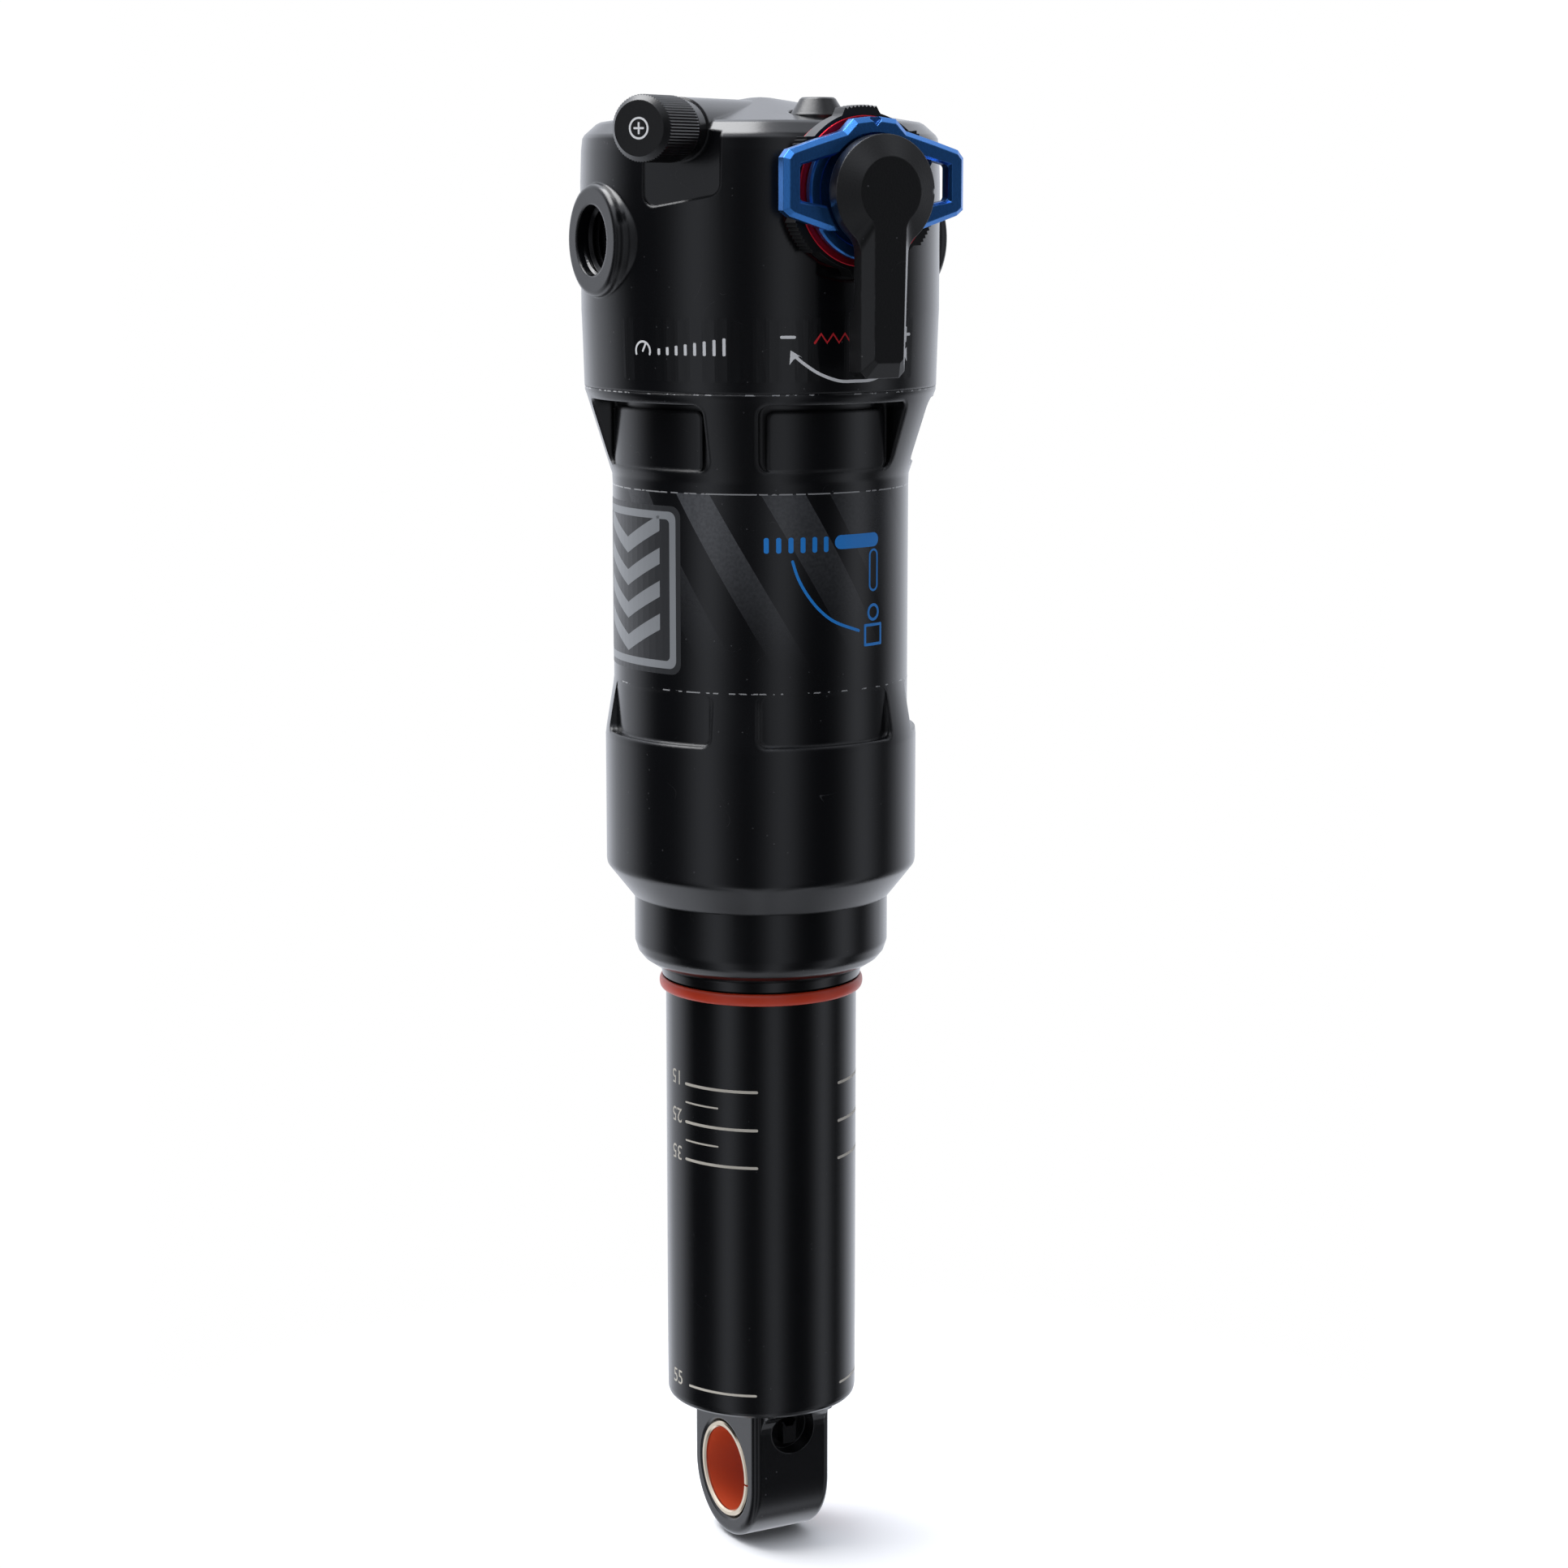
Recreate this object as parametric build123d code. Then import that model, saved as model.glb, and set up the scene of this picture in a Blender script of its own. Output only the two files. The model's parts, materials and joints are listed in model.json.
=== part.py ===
from build123d import *
import os
from math import cos, degrees, pi, radians, sin

# Rear air shock for a mountain bike, trunnion type, 185 mm x 55 mm.
# Origin: centre of the lower eye. +Z runs up the shock's axis to the head.
# X is the axis of the eye and of the trunnion bolts. The adjusters face -Y.
# All lengths are millimetres.

# ---- driving dimensions ----
EYE_TO_TRUNNION = 185.0
STROKE = 55.0
TRUNNION_HALF_WIDTH = 27.0
TRUNNION_THREAD_R = 5.0
TRUNNION_THREAD_DEPTH = 13.0
RUN_FIT = 0.05          # radial clearance where one piece slides or turns in another
SLIP = 0.02             # hairline between pieces that are screwed or pressed together
FREE_GAP = 0.4          # radial clearance where moving pieces must not touch

# lower eye
EYE_BORE_R = 7.3
EYE_PIN_R = 6.35
LINER_T = 0.25
LINER_HALF_WIDTH = 6.0
EYE_WIDTH = 13.0
EYE_HALF_DEPTH = 9.9
EYE_LOW = 10.2             # lowest point of the eye's round end, below its centre
EYE_FLARE = ((8.0, 8.2), (9.9, 8.2), (10.05, 9.2), (10.5, 10.1), (11.2, 10.9), (12.0, 11.35), (12.4, 11.7),
             (8.0, 11.7))
PORT_HEIGHT = 8.2
PORT_R = 3.6
PORT_FLOOR = 7.3
FILL_SCREW_R = 1.9
FILL_SCREW_HEIGHT = 9.6

# damper body
STANCHION_R = 14.2
DAMPER_BORE_R = 12.9
STANCHION_LOW = 11.7
STANCHION_FLOOR = 17.0
STANCHION_TOP = 103.0
SPIGOT_R = 9.0

# shaft and main piston, fixed to the head
SHAFT_R = 4.5
SHAFT_BORE_R = 2.3
SHAFT_LOW = 82.0
SHAFT_TOP = 184.0
PISTON_LOW = 86.5
PISTON_HIGH = 92.5

# air spring
CAN_BORE_R = 17.2
CAN_R = 18.75
CAN_LOW = 78.4
CAN_TOP = 171.0
NECK_BORE_R = 16.0
NECK_TOP = 95.0
AIR_PISTON_TOP = 112.0
SLEEVE_BORE_R = 20.2
SLEEVE_LOW = 89.3
HEAD_LOW = 164.2
FLARE_LOW = 151.8
WAIST_R = 21.55
BELLY_R = 22.85
POCKET_FLOOR_R = 21.2
RIB_HALF_ANGLE = 9.0
POCKET_CENTRES = (-90.25, -166.0, -14.0, 57.0, 123.0)
POCKET_HALF_SPANS = (28.75, 29.0, 29.0, 24.0, 24.0)

# head
HEAD_R = 25.85
HEAD_TOP = 205.1
HEAD_CAVITY_TOP = 173.5
VALVE_ANGLE = -145.0
VALVE_HEIGHT = 200.2
VALVE_PAD = 24.6
STEM_R = 3.85
CAP_R = 4.55
CAP_BACK = 27.0
CAP_FRONT = 36.2
PLUG_Y = -17.0
PLUG_SEAT = 201.7

# adjusters, all on one axis that runs along -Y
ADJUSTER_HEIGHT = 191.8
LOBE_LEAN = -3.0         # the grip's top lobe stands this many degrees off vertical
LEVER_SPINDLE_R = 1.6
COMPRESSION_SPINDLE_R = 2.9
REBOUND_SPINDLE_R = 4.4
HOUSING_R = 8.0
HOUSING_BACK = 12.0
HOUSING_FRONT = 25.9
REBOUND_BACK = 26.3
REBOUND_FRONT = 30.3
COMPRESSION_BACK = 30.6
COMPRESSION_FRONT = 33.5
LEVER_BACK = 34.0
LEVER_EDGE = 35.9
LEVER_FRONT = 37.4
REBOUND_CAM_R = 5.5
REBOUND_CAM_RISE = 0.5
REBOUND_HALF_TURN = 135.0
LEVER_CAM_R = 2.0
LEVER_CAM_RISE = 1.0
LEVER_TURN = 90.0
CAM_GAP = 0.15

UPRIGHT = (Align.CENTER, Align.CENTER, Align.MIN)


# ---- helpers ----
def tube(r_out, r_in, low, high):
    """Cylinder between two heights on local Z, hollow when r_in is not zero."""
    body = Cylinder(r_out, high - low, align=UPRIGHT)
    if r_in > 0:
        body -= Cylinder(r_in, high - low, align=UPRIGHT)
    return Pos(0, 0, low) * body


def turned(points):
    """Solid turned about local Z from a closed outline of (radius, height) points."""
    outline = Polyline(*[(r, 0, z) for r, z in points], close=True)
    return revolve(make_face(outline), Axis.Z)


def ring_of(r_in, r_out, middle, height):
    """Round-sided ring about local Z: an O-ring, or a rubber band with a soft edge."""
    section = Pos((r_in + r_out) / 2, middle) * Ellipse((r_out - r_in) / 2, height / 2)
    return revolve(Plane.XZ * section, Axis.Z)


def sector(r_in, r_out, low, high, start, end, corner):
    """Part of a ring between two angles in degrees, its corners rounded seen from outside."""
    section = Polyline((r_in, 0, low), (r_out, 0, low), (r_out, 0, high), (r_in, 0, high), close=True)
    block = revolve(make_face(section), Axis.Z, revolution_arc=end - start)
    spokes = block.edges().filter_by(GeomType.LINE).filter_by(lambda e: abs(e.tangent_at(0).Z) < 0.5)
    return Rot(0, 0, start) * fillet(spokes, corner)


def spiral_disc(base_r, rise_per_degree, half_turn, thickness):
    """Cam plate whose radius grows with angle, measured from straight down (local -Y) to +X."""
    points = []
    for step in range(-36, 37):
        angle = 5.0 * step
        travel = max(-half_turn, min(half_turn, angle))
        if abs(angle) > half_turn:
            travel *= (180.0 - abs(angle)) / (180.0 - half_turn)
        radius = base_r + rise_per_degree * travel
        points.append((radius * sin(radians(angle)), -radius * cos(radians(angle))))
    return extrude(make_face(Polyline(*points[:-1], close=True)), thickness)


def radial_plane(angle, height):
    """Plane whose Z points outwards from the shock's axis at this angle, and whose Y is up."""
    outward = (cos(radians(angle)), sin(radians(angle)), 0)
    sideways = (-sin(radians(angle)), cos(radians(angle)), 0)
    return Plane(origin=(0, 0, height), x_dir=sideways, z_dir=outward)


ADJUSTERS = Plane(origin=(0, 0, ADJUSTER_HEIGHT), x_dir=(1, 0, 0), z_dir=(0, -1, 0))
VALVE = radial_plane(VALVE_ANGLE, VALVE_HEIGHT)
parts = {}


# ---- lower eye ----
def eyelet():
    """Block with the eye, a round charging port on the front and a threaded spigot on top."""
    corner = (EYE_HALF_DEPTH, EYE_HALF_DEPTH - EYE_LOW)
    sides = Polyline(corner, (EYE_HALF_DEPTH, STANCHION_LOW), (-EYE_HALF_DEPTH, STANCHION_LOW),
                     (-corner[0], corner[1]))
    end = ThreePointArc((-corner[0], corner[1]), (0, -EYE_LOW), corner)
    body = extrude(Plane.YZ * make_face(sides + end), EYE_WIDTH / 2, both=True)
    rim = body.edges().filter_by(lambda e: abs(abs(e.center().X) - EYE_WIDTH / 2) < 0.01)
    body = fillet(rim.filter_by(lambda e: e.center().Z < STANCHION_LOW - 0.1), 1.1)
    for side in (-1, 1):
        flare = Polyline(*[(side * y, z) for y, z in EYE_FLARE], close=True)
        body += extrude(Plane.YZ * make_face(flare), EYE_WIDTH / 2 - 1.1, both=True)
    body += tube(SPIGOT_R - SLIP, 0, STANCHION_LOW - 0.5, STANCHION_FLOOR)
    front = Plane(origin=(0, 0, PORT_HEIGHT), x_dir=(1, 0, 0), z_dir=(0, -1, 0))
    body -= front * tube(PORT_R, 0, PORT_FLOOR, 14.0)
    body -= fill_plane() * tube(FILL_SCREW_R + SLIP, 0, 2.9, 9.0)
    body -= Pos(0, -4.0, FILL_SCREW_HEIGHT) * Cylinder(1.0, 20, align=UPRIGHT)
    bore = turned([(0, 0), (EYE_BORE_R, 0), (EYE_BORE_R, EYE_WIDTH / 2 - 0.5),
                   (EYE_BORE_R + 0.5, EYE_WIDTH / 2), (EYE_BORE_R + 0.5, 10), (0, 10)])
    for side in (-1, 1):
        body -= Plane(origin=(0, 0, 0), x_dir=(0, 1, 0), z_dir=(side, 0, 0)) * bore
    return body


def bush_joint():
    """Narrow gap where the ends of a rolled bush meet."""
    return Rot(3, 0, 0) * Pos(0, -EYE_BORE_R, 0) * Box(40, 3.2, 0.3)


def eye_bush():
    """Rolled bush in the eye, with a shallow groove inside for its liner."""
    across = Plane(origin=(0, 0, 0), x_dir=(0, 1, 0), z_dir=(1, 0, 0))
    half = EYE_WIDTH / 2
    lip_r = EYE_PIN_R
    groove_r = EYE_PIN_R + LINER_T
    outer_r = EYE_BORE_R - SLIP
    bush = turned([
        (lip_r + 0.25, -half), (outer_r - 0.2, -half), (outer_r, -half + 0.2), (outer_r, half - 0.2),
        (outer_r - 0.2, half), (lip_r + 0.25, half), (lip_r, half - 0.25), (lip_r, LINER_HALF_WIDTH),
        (groove_r, LINER_HALF_WIDTH), (groove_r, -LINER_HALF_WIDTH), (lip_r, -LINER_HALF_WIDTH),
        (lip_r, -half + 0.25),
    ])
    return across * bush - bush_joint()


def eye_bush_liner():
    """Low-friction liner in the bush's groove."""
    ring = Circle(EYE_PIN_R + LINER_T - SLIP) - Circle(EYE_PIN_R)
    return extrude(Plane.YZ * ring, LINER_HALF_WIDTH - SLIP, both=True) - bush_joint()


def fill_plane():
    """Plane on the charging port's screw axis, its Z pointing out of the port."""
    return Plane(origin=(0, 0, FILL_SCREW_HEIGHT), x_dir=(1, 0, 0), z_dir=(0, -1, 0))


def fill_screw():
    """Socket screw that closes the gas chamber's charging port."""
    tab = Pos(0, -1.4, PORT_FLOOR) * extrude(Rectangle(2.2, 4.6), 1.6)
    screw = tube(FILL_SCREW_R, 0, 3.2, PORT_FLOOR) + tab
    socket = Pos(0, 0, PORT_FLOOR - 0.6) * extrude(RegularPolygon(1.2, 6), 3.0)
    return fill_plane() * (screw - socket)


# ---- damper body ----
def stanchion():
    """Black tube with a rounded lower end and a hole in its floor for the eyelet's spigot."""
    outline = [
        (SPIGOT_R, STANCHION_LOW), (13.2, STANCHION_LOW), (13.65, 11.85), (14.0, 12.2), (14.15, 12.6),
        (STANCHION_R, 13.1), (STANCHION_R, STANCHION_TOP), (DAMPER_BORE_R, STANCHION_TOP),
        (DAMPER_BORE_R, STANCHION_FLOOR), (SPIGOT_R, STANCHION_FLOOR),
    ]
    return turned(outline)


def air_piston():
    """Seal head that screws into the damper body and carries the air piston above it."""
    inside_r = DAMPER_BORE_R - 0.01
    outline = [
        (SHAFT_R + FREE_GAP, 95.5), (inside_r, 95.5), (inside_r, STANCHION_TOP), (16.7, STANCHION_TOP),
        (16.7, 104.2), (15.2, 104.2), (15.2, 106.0), (16.7, 106.0),
        (16.7, 106.8), (15.2, 106.8), (15.2, 109.6), (16.7, 109.6),
        (16.7, 111.2), (15.9, AIR_PISTON_TOP), (SHAFT_R + FREE_GAP, AIR_PISTON_TOP),
        (SHAFT_R + FREE_GAP, 109.5), (6.0, 109.5), (6.0, 100.0), (SHAFT_R + FREE_GAP, 100.0),
    ]
    return turned(outline)


def floating_piston():
    """Piston that parts the oil from the gas charge, with a cup on its gas side."""
    r_out = DAMPER_BORE_R - RUN_FIT
    outline = [
        (0, 28.0), (9.5, 28.0), (9.5, 24.5), (r_out, 24.5), (r_out, 26.2), (11.6, 26.2), (11.6, 29.2),
        (r_out, 29.2), (r_out, 31.5), (0, 31.5),
    ]
    return turned(outline)


# ---- shaft and valving ----
def main_piston():
    """Damping piston with a ring of kidney ports and a groove for its glide band."""
    r_out = DAMPER_BORE_R - 0.5
    outline = [
        (3.5, PISTON_LOW), (r_out, PISTON_LOW), (r_out, 87.6), (11.6, 87.6), (11.6, 91.4), (r_out, 91.4),
        (r_out, PISTON_HIGH), (3.5, PISTON_HIGH),
    ]
    body = turned(outline)
    for angle in range(0, 360, 60):
        body -= sector(6.2, 9.4, PISTON_LOW - 1, PISTON_HIGH + 1, angle, angle + 34, 0.5)
    return body


def shim_stack(low, step, radii):
    """Thin spring-steel discs laid one on the other, the widest at the piston's face."""
    discs = [tube(r, 3.5, low + i * step, low + i * step + abs(step) * 0.92) for i, r in enumerate(radii)]
    return Compound(children=[disc.solid() for disc in discs])


def damper_shaft():
    """Hollow shaft, stepped down where the piston sits, threaded into the head."""
    shaft = tube(SHAFT_R, SHAFT_BORE_R, 94.4, SHAFT_TOP)
    shaft += tube(3.5, SHAFT_BORE_R, SHAFT_LOW, 94.4)
    return shaft


def piston_nut():
    """Hexagon nut that holds the valve stack on the shaft."""
    nut = extrude(RegularPolygon(6.2, 6), 2.6) - Cylinder(3.5, 20)
    return Pos(0, 0, SHAFT_LOW + 0.3) * nut


# ---- air can ----
def inner_air_can():
    """Pressure tube whose narrow neck holds the wiper, the seal and the guide bush."""
    outline = [
        (15.0, CAN_LOW), (16.3, 79.0), (17.5, 79.8), (18.3, 80.8), (CAN_R, 82.2), (CAN_R, CAN_TOP),
        (CAN_BORE_R, CAN_TOP), (CAN_BORE_R, NECK_TOP), (NECK_BORE_R, NECK_TOP), (NECK_BORE_R, 80.6),
        (15.0, 80.6),
    ]
    body = turned(outline)
    for angle in range(45, 360, 90):
        body -= radial_plane(angle, 98.5) * tube(1.3, 0, 10, 25)
    return body


def wiper_seal():
    """Glossy rubber wiper: a lip under the can and a body inside its neck."""
    lip_r = STANCHION_R + RUN_FIT
    outline = [
        (lip_r, 76.9), (14.75, 77.0), (14.95, 78.2), (14.98, 80.6), (NECK_BORE_R - 0.02, 80.65),
        (NECK_BORE_R - 0.02, 82.0), (lip_r + 0.4, 82.0), (lip_r + 0.4, 78.6), (lip_r, 78.0),
    ]
    return turned(outline)


def pocket_pair(blank, low, high, centre, half_span, panel_r, rim):
    """One window pocket's cut and the slightly raised panel on its floor."""
    start = centre - half_span
    end = centre + half_span
    cut = sector(POCKET_FLOOR_R, 30.0, low, high, start, end, 1.6)
    margin = degrees(rim / POCKET_FLOOR_R)
    panel = sector(POCKET_FLOOR_R - 0.4, panel_r, low - 0.2, high - rim, start + margin, end - margin, 1.1)
    return cut, panel & blank


def outer_air_can():
    """Visible sleeve around the pressure tube, with two rows of pockets between ribs."""
    outline = [
        (CAN_R + 0.01, SLEEVE_LOW), (CAN_R + 0.35, SLEEVE_LOW), (22.5, 93.6), (22.76, 94.0), (BELLY_R, 94.5),
        (BELLY_R, 113.2), (22.7, 114.4), (WAIST_R + 0.15, 120.4), (WAIST_R, 121.8),
        (WAIST_R, 149.8), (WAIST_R + 0.05, 151.4), (WAIST_R + 0.5, 152.8), (25.2, 162.9), (25.45, 163.6),
        (25.45, HEAD_LOW), (CAN_R + 0.01, HEAD_LOW), (CAN_R + 0.01, 161.0), (19.7, 161.0), (19.7, 159.2),
        (CAN_R + 0.01, 159.2), (CAN_R + 0.01, 157.6), (SLEEVE_BORE_R, 156.2), (SLEEVE_BORE_R, 95.2),
        (CAN_R + 0.01, 93.8), (CAN_R + 0.01, 92.8), (19.7, 92.8), (19.7, 91.0), (CAN_R + 0.01, 91.0),
    ]
    blank = turned(outline)
    body = blank
    for centre, half_span in zip(POCKET_CENTRES, POCKET_HALF_SPANS):
        upper_cut, upper_panel = pocket_pair(blank, 153.1, 162.6, centre, half_span, 21.9, 1.1)
        body = body - upper_cut + upper_panel
        body -= sector(WAIST_R, 30.0, 114.1, 121.5, centre - half_span, centre + half_span, 1.2)
    return body


# ---- head ----
def trunnion_boss(side):
    """Low round boss with a flat face for the frame's link."""
    face = TRUNNION_HALF_WIDTH
    boss = turned([(0, 12), (8.9, 12), (8.9, face - 2.6), (8.3, face - 1.9), (8.0, face - 1.2),
                   (7.9, face - 0.6), (7.7, face - 0.2), (7.3, face), (0, face)])
    return Plane(origin=(0, 0, EYE_TO_TRUNNION), x_dir=(0, side, 0), z_dir=(side, 0, 0)) * boss


def trunnion_hole(side):
    """Blind threaded hole, at its major radius."""
    hole = tube(TRUNNION_THREAD_R, 0, TRUNNION_HALF_WIDTH - TRUNNION_THREAD_DEPTH, TRUNNION_HALF_WIDTH + 1)
    return Plane(origin=(0, 0, EYE_TO_TRUNNION), x_dir=(0, side, 0), z_dir=(side, 0, 0)) * hole


def trunnion_head():
    """Head: joins the can, the shaft, the trunnions, the valve and the adjusters."""
    body = turned([
        (0, HEAD_LOW), (25.5, HEAD_LOW), (25.7, 171.0), (HEAD_R, 175.0), (HEAD_R, 193.0), (25.7, 197.5),
        (25.5, 199.2), (25.2, 199.7), (23.5, 201.2), (22.9, 201.5), (1.5, HEAD_TOP - 0.1), (0, HEAD_TOP),
    ])
    for side in (-1, 1):
        body += trunnion_boss(side)
    # the valve's tunnel: a half-round ridge across the top, ending in a ball
    tunnel = tube(4.4, 0, 4.0, VALVE_PAD)
    tunnel += Pos(0, 0, 4.0) * Sphere(4.4)
    body += VALVE * tunnel
    # flat pad behind the valve cap, deeper on its right, with a slanted lower edge
    pad = Polyline((-5.4, 12), (-5.4, -10.8), (6.3, -8.8), (6.3, 12), close=True)
    pad_cut = extrude(make_face(pad), 10)
    corners = pad_cut.edges().filter_by(Axis.Z).sort_by(Axis.Y)[:2]
    body -= VALVE * (Pos(0, 0, VALVE_PAD) * Rot(0, 5, 0) * fillet(corners, 1.8))
    body += VALVE * tube(4.2, 0, 20.0, CAP_BACK - 0.3)
    body -= VALVE * tube(STEM_R + SLIP, 0, 12.0, 30.0)
    # passage from the valve down to the air chamber
    body -= VALVE * (Pos(0, 0, 13.0) * Rot(90, 0, 0) * Cylinder(1.2, 30, align=UPRIGHT))
    # spot face and bore for the adjusters
    body -= ADJUSTERS * tube(12.2, 0, 25.4, 40)
    body -= ADJUSTERS * tube(HOUSING_R + SLIP, 0, HOUSING_BACK, 40)
    body -= ADJUSTERS * tube(6.8, 0, -3.0, 40)
    body -= Pos(0, -3.0, SHAFT_TOP) * Box(4.4, 11.0, 6.0, align=UPRIGHT)
    # air chamber, shaft seat and the thread for the can
    body -= tube(CAN_R + SLIP, 0, HEAD_LOW - 1, CAN_TOP)
    body -= tube(CAN_BORE_R, 0, HEAD_LOW - 1, HEAD_CAVITY_TOP)
    body -= tube(SHAFT_R + SLIP, 0, HEAD_LOW - 1, SHAFT_TOP)
    for side in (-1, 1):
        body -= trunnion_hole(side)
    body -= Pos(0, PLUG_Y, 0) * tube(2.4 + SLIP, 0, 195.0, 210.0)
    body -= Pos(0, PLUG_Y, 0) * tube(4.1, 0, PLUG_SEAT, 210.0)
    return body


def bleed_plug():
    """Black screw plug with a tapered head, on top of the adjusters' bore."""
    plug = turned([(0, 199.95), (2.4, 199.95), (2.4, PLUG_SEAT), (3.9, PLUG_SEAT), (3.9, 202.3),
                   (3.7, 202.6), (2.5, 204.5), (2.2, 204.7), (0, 204.7)])
    plug -= Pos(0, 0, 203.4) * extrude(RegularPolygon(1.5, 6), 3)
    return Pos(0, PLUG_Y, 0) * plug


# ---- valve ----
def valve_stem():
    """Threaded valve body with a hollow for its core."""
    return VALVE * (tube(STEM_R, 2.6, 14.0, 33.4) - tube(6, 3.6, 26.4, 27.0))


def valve_core():
    """Slim brass insert with the pin that a pump pushes."""
    return VALVE * (tube(2.55, 0, 19.0, 30.0) + tube(0.8, 0, 30.0, 32.8))


def knurled_disc(r_out, depth, teeth, low, high):
    """Prism with fine V-shaped teeth around its rim."""
    points = []
    for i in range(2 * teeth):
        radius = r_out - depth * (i % 2)
        points.append((radius * cos(pi * i / teeth), radius * sin(pi * i / teeth)))
    return Pos(0, 0, low) * extrude(make_face(Polyline(*points, close=True)), high - low)


def valve_cap():
    """Screw-on cap, knurled around its side, with a bevelled front edge."""
    envelope = turned([(0, CAP_BACK), (4.3, CAP_BACK), (CAP_R, CAP_BACK + 0.3), (CAP_R, CAP_FRONT - 0.9),
                       (3.75, CAP_FRONT), (0, CAP_FRONT)])
    cap = knurled_disc(CAP_R, 0.16, 66, CAP_BACK, CAP_FRONT) & envelope
    cap -= tube(STEM_R + RUN_FIT, 0, CAP_BACK - 1, 34.6)
    return VALVE * cap


# ---- adjusters ----
def rebound_grip():
    """Black ring with six serrated finger lobes."""
    points = []
    lobe_r = 11.65
    root_r = 10.75
    for i in range(240):
        angle = 1.5 * i
        offset = abs((angle - LOBE_LEAN + 30.0) % 60.0 - 30.0)
        reach = max(0.0, min(1.0, (16.0 - offset) / 4.0))
        tooth = 0.3 * (i % 2) if reach == 1.0 else 0.0
        radius = root_r + (lobe_r - root_r) * reach - tooth
        points.append((radius * sin(radians(angle)), radius * cos(radians(angle))))
    ring = Pos(0, 0, 27.3) * extrude(make_face(Polyline(*points, close=True)), 2.8)
    return ADJUSTERS * (ring - tube(9.6, 0, 20, 40))


def rebound_core():
    """Red anodised wheel that carries the grip ring, with a thin flange behind it."""
    wheel = turned([
        (REBOUND_SPINDLE_R, REBOUND_BACK), (10.3, REBOUND_BACK), (10.5, REBOUND_BACK + 0.2), (10.5, 27.1),
        (10.3, 27.3), (9.6, 27.3), (9.6, 30.1), (10.2, 30.12), (10.25, 30.2), (10.15, REBOUND_FRONT),
        (8.6, REBOUND_FRONT), (8.2, 29.6), (REBOUND_SPINDLE_R, 29.6),
    ])
    return ADJUSTERS * wheel


def rebound_spindle():
    """Tube that turns with the red wheel and carries the rebound cam at its inner end."""
    tube_body = tube(REBOUND_SPINDLE_R, COMPRESSION_SPINDLE_R + RUN_FIT, 6.8, 29.6)
    rise = REBOUND_CAM_RISE / REBOUND_HALF_TURN
    cam = Pos(0, 0, 5.0) * spiral_disc(REBOUND_CAM_R, rise, REBOUND_HALF_TURN, 1.8)
    cam -= tube(COMPRESSION_SPINDLE_R + RUN_FIT, 0, 0, 40)
    return ADJUSTERS * (tube_body + cam)


def compression_dial():
    """Blue anodised dial: a round rim and two winged finger tabs with windows."""
    rim = tube(9.35, 7.6, COMPRESSION_BACK, 31.7)
    rim = chamfer(rim.faces().sort_by(Axis.Z)[-1].edges(), 0.25)
    web = tube(8.3, COMPRESSION_SPINDLE_R, COMPRESSION_BACK, 31.1)
    hub = tube(4.6, COMPRESSION_SPINDLE_R, COMPRESSION_BACK, 33.3)
    right_side = [(7.2, -5.2), (13.1, -3.3), (14.1, -2.5), (14.1, 4.5), (13.2, 5.6), (9.4, 6.8), (4.9, 8.1),
                  (3.3, 9.7), (0.8, 10.0)]
    left_side = [(-x, y) for x, y in reversed(right_side)]
    foot = [(-6.0, -7.2), (6.0, -7.2)]
    outline = make_face(Polyline(*right_side, *left_side, *foot, close=True))
    wings = Pos(0, 0, 31.4) * extrude(outline, COMPRESSION_FRONT - 0.7 - 31.4)
    top = offset(outline, -0.7, kind=Kind.INTERSECTION).faces()[0]
    bevel_start = Pos(0, 0, COMPRESSION_FRONT - 0.7) * outline
    wings += loft([bevel_start, Pos(0, 0, COMPRESSION_FRONT) * top], ruled=True)
    wings -= tube(7.9, 0, 31.0, 40)
    wings -= Pos(0, -7.7, 30.0) * Box(30, 5, 10, align=UPRIGHT)
    for side in (-1, 1):
        corners = [(6.0 * side, -2.2), (11.6 * side, -1.2), (11.6 * side, 3.5), (6.0 * side, 4.9)]
        window = extrude(make_face(Polyline(*corners, close=True)), 30)
        window = fillet(window.edges().filter_by(Axis.Z).filter_by(lambda e: abs(e.center().X) > 10), 0.6)
        wings -= Pos(0, 0, 20) * window
        lip = loft([
            Pos(0, 0, COMPRESSION_FRONT - 0.5) * make_face(Polyline(*corners, close=True)),
            Pos(0, 0, COMPRESSION_FRONT + 0.1) * offset(make_face(Polyline(*corners, close=True)), 0.4,
                                                        kind=Kind.INTERSECTION).faces()[0],
        ], ruled=True)
        wings -= lip
    wings -= Pos(0, 9.7, COMPRESSION_FRONT) * Rot(0, 0, 45) * Box(1.3, 1.3, 1.6)
    return ADJUSTERS * (rim + web + hub + wings)


def keyhole(hub_r, half_width, lean, tip, corner, neck_r):
    """Keyhole outline: a round hub and an arm, with rounded inner corners where they meet."""
    arm = make_face(Polyline((-half_width, 0), (-half_width, -tip + corner), (-half_width + corner, -tip),
                             (half_width - lean - corner, -tip), (half_width - lean, -tip + corner),
                             (half_width, 0), close=True))
    outline = Circle(hub_r) + arm
    necks = outline.vertices().filter_by(lambda v: -hub_r < v.Y < -1.0 and abs(v.X) < half_width + 0.3)
    return fillet(necks, neck_r)


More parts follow.
